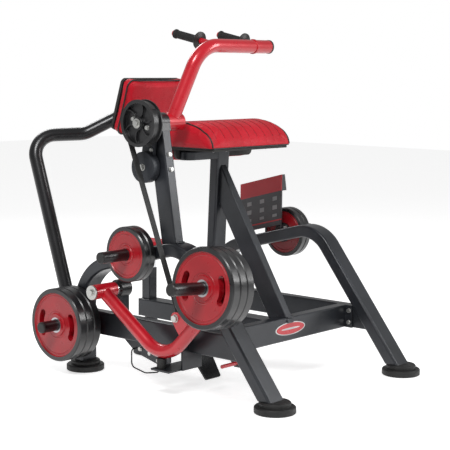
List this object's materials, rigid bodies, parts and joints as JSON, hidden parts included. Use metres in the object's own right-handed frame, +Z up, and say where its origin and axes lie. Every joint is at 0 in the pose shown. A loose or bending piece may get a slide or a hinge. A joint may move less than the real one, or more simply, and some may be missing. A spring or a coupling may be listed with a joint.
{
  "type": "plate loaded seated triceps press",
  "caption": "Seated overhead triceps machine: swinging handle arm winds a belt wheel that lifts a weight lever loaded with plates.",
  "frame": {"origin": "middle of the base of the bounding box, on the floor", "axes": "+X across the machine to the seated user's left, -Y the way the user faces, +Z up"},
  "size_m": [1.5624, 1.5121, 1.4832],
  "materials": {
    "frame_paint": "charcoal satin powder coat",
    "black_paint": "black satin powder coat",
    "horn_paint": "charcoal paint",
    "iron_paint": "painted counterweight",
    "black_cast": "black painted casting",
    "red_paint": "gloss red",
    "black_rubber": "moulded rubber",
    "grip_rubber": "knurled grip",
    "black_plastic": "moulded plastic",
    "dark_steel": "dark grey",
    "zinc": "zinc plated",
    "bright_steel": "ground and plated",
    "belt": "black belt",
    "plate_iron": "red face, black rim",
    "red_vinyl": "red leatherette",
    "board": "black painted plywood",
    "placard_paint": "painted sheet"
  },
  "bodies": {
    "frame": {"right_arch": "frame_paint", "left_arch": "frame_paint", "feet": "black_rubber", "front_crossbeam": "frame_paint", "centre_beam": "frame_paint", "centre_post": "frame_paint", "front_brace": "frame_paint", "side_post": "frame_paint", "pivot_housing": "black_paint", "pivot_bearings": "bright_steel", "lever_post": "frame_paint", "lever_block": "black_paint", "lever_pin": "bright_steel", "lever_cap": "dark_steel", "storage_horns": "horn_paint", "horn_caps": "black_plastic", "elbow_pad": "red_vinyl", "pad_boards": "board", "chest_pad": "red_vinyl", "pad_bracket": "frame_paint", "backrest_pad": "red_vinyl", "backrest_board": "board", "back_tube": "black_paint", "seat_post": "frame_paint", "placard": "placard_paint", "stop_bracket": "frame_paint", "stop_bumper": "black_rubber", "latch_bracket": "frame_paint", "latch_cable": "belt", "pedal_ears": "frame_paint", "pedal_rods": "red_paint", "base_beams": "frame_paint", "frame_bolts": "zinc"},
    "arm": {"pivot_shaft": "bright_steel", "arm_collar": "red_paint", "arm_tube": "red_paint", "handle_rods": "red_paint", "hand_guards": "black_plastic", "grips": "grip_rubber", "arm_end_cap": "black_plastic", "wheel": "black_cast", "rotor_bolts": "zinc", "belt_wrap": "belt", "counterweight": "iron_paint"},
    "lever": {"lever_tube": "red_paint", "lever_hub": "red_paint", "anchor_bolt": "zinc", "load_horn": "horn_paint", "load_horn_cap": "black_plastic"},
    "belt": {"belt_span": "belt"},
    "seat": {"seat_stem": "bright_steel", "seat_board": "board", "seat_pad": "red_vinyl"},
    "seat_pin": {"seat_pin": "dark_steel"},
    "pedal": {"pedal": "black_paint"},
    "loaded_stack": {"loaded_plates": "plate_iron"},
    "rear_stack": {"rear_plates": "plate_iron"},
    "right_top_stack": {"right_top_plates": "plate_iron"},
    "left_top_stack": {"left_top_plates": "plate_iron"}
  },
  "joints": [
    {"name": "arm_pivot", "type": "hinge", "parent": "frame", "child": "arm", "pos_m": [0.08923, -0.04376, 1.096], "axis": [1, 0, 0], "range_deg": [0, 110]},
    {"name": "lever_pivot", "type": "hinge", "parent": "frame", "child": "lever", "pos_m": [0.08923, 0.17284, 0.388], "axis": [1, 0, 0], "range_deg": [-24.1, 0]},
    {"name": "belt_swing", "type": "hinge", "parent": "frame", "child": "belt", "pos_m": [0.08923, -0.04376, 1.096], "axis": [1, 0, 0], "range_deg": [-5.4, 0], "deforming": ["belt_span"]},
    {"name": "seat_height", "type": "slide", "parent": "frame", "child": "seat", "axis": [0, 0, 1], "range_m": [0, 0.12]},
    {"name": "seat_pin_pull", "type": "slide", "parent": "frame", "child": "seat_pin", "axis": [0, 1, 0], "range_m": [0, 0.012], "stiffness_N_per_m": 600, "springref_m": -0.004},
    {"name": "pedal_pivot", "type": "hinge", "parent": "frame", "child": "pedal", "pos_m": [-0.19077, -0.32716, 0.165], "axis": [1, 0, 0], "range_deg": [-8, 0], "stiffness_Nm_per_rad": 30, "springref_deg": 6.88},
    {"name": "loaded_slide", "type": "slide", "parent": "lever", "child": "loaded_stack", "axis": [-0.9962, 0, 0.0872], "range_m": [0, 0.3]},
    {"name": "rear_slide", "type": "slide", "parent": "frame", "child": "rear_stack", "axis": [-1, 0, 0], "range_m": [0, 0.21]},
    {"name": "right_top_slide", "type": "slide", "parent": "frame", "child": "right_top_stack", "axis": [-1, 0, 0], "range_m": [0, 0.21]},
    {"name": "left_top_slide", "type": "slide", "parent": "frame", "child": "left_top_stack", "axis": [1, 0, 0], "range_m": [0, 0.21]}
  ],
  "couplings": [
    {"joint": "lever_pivot", "follows": "arm_pivot", "ratio": -0.2162},
    {"joint": "belt_swing", "follows": "arm_pivot", "ratio": -0.0458}
  ]
}
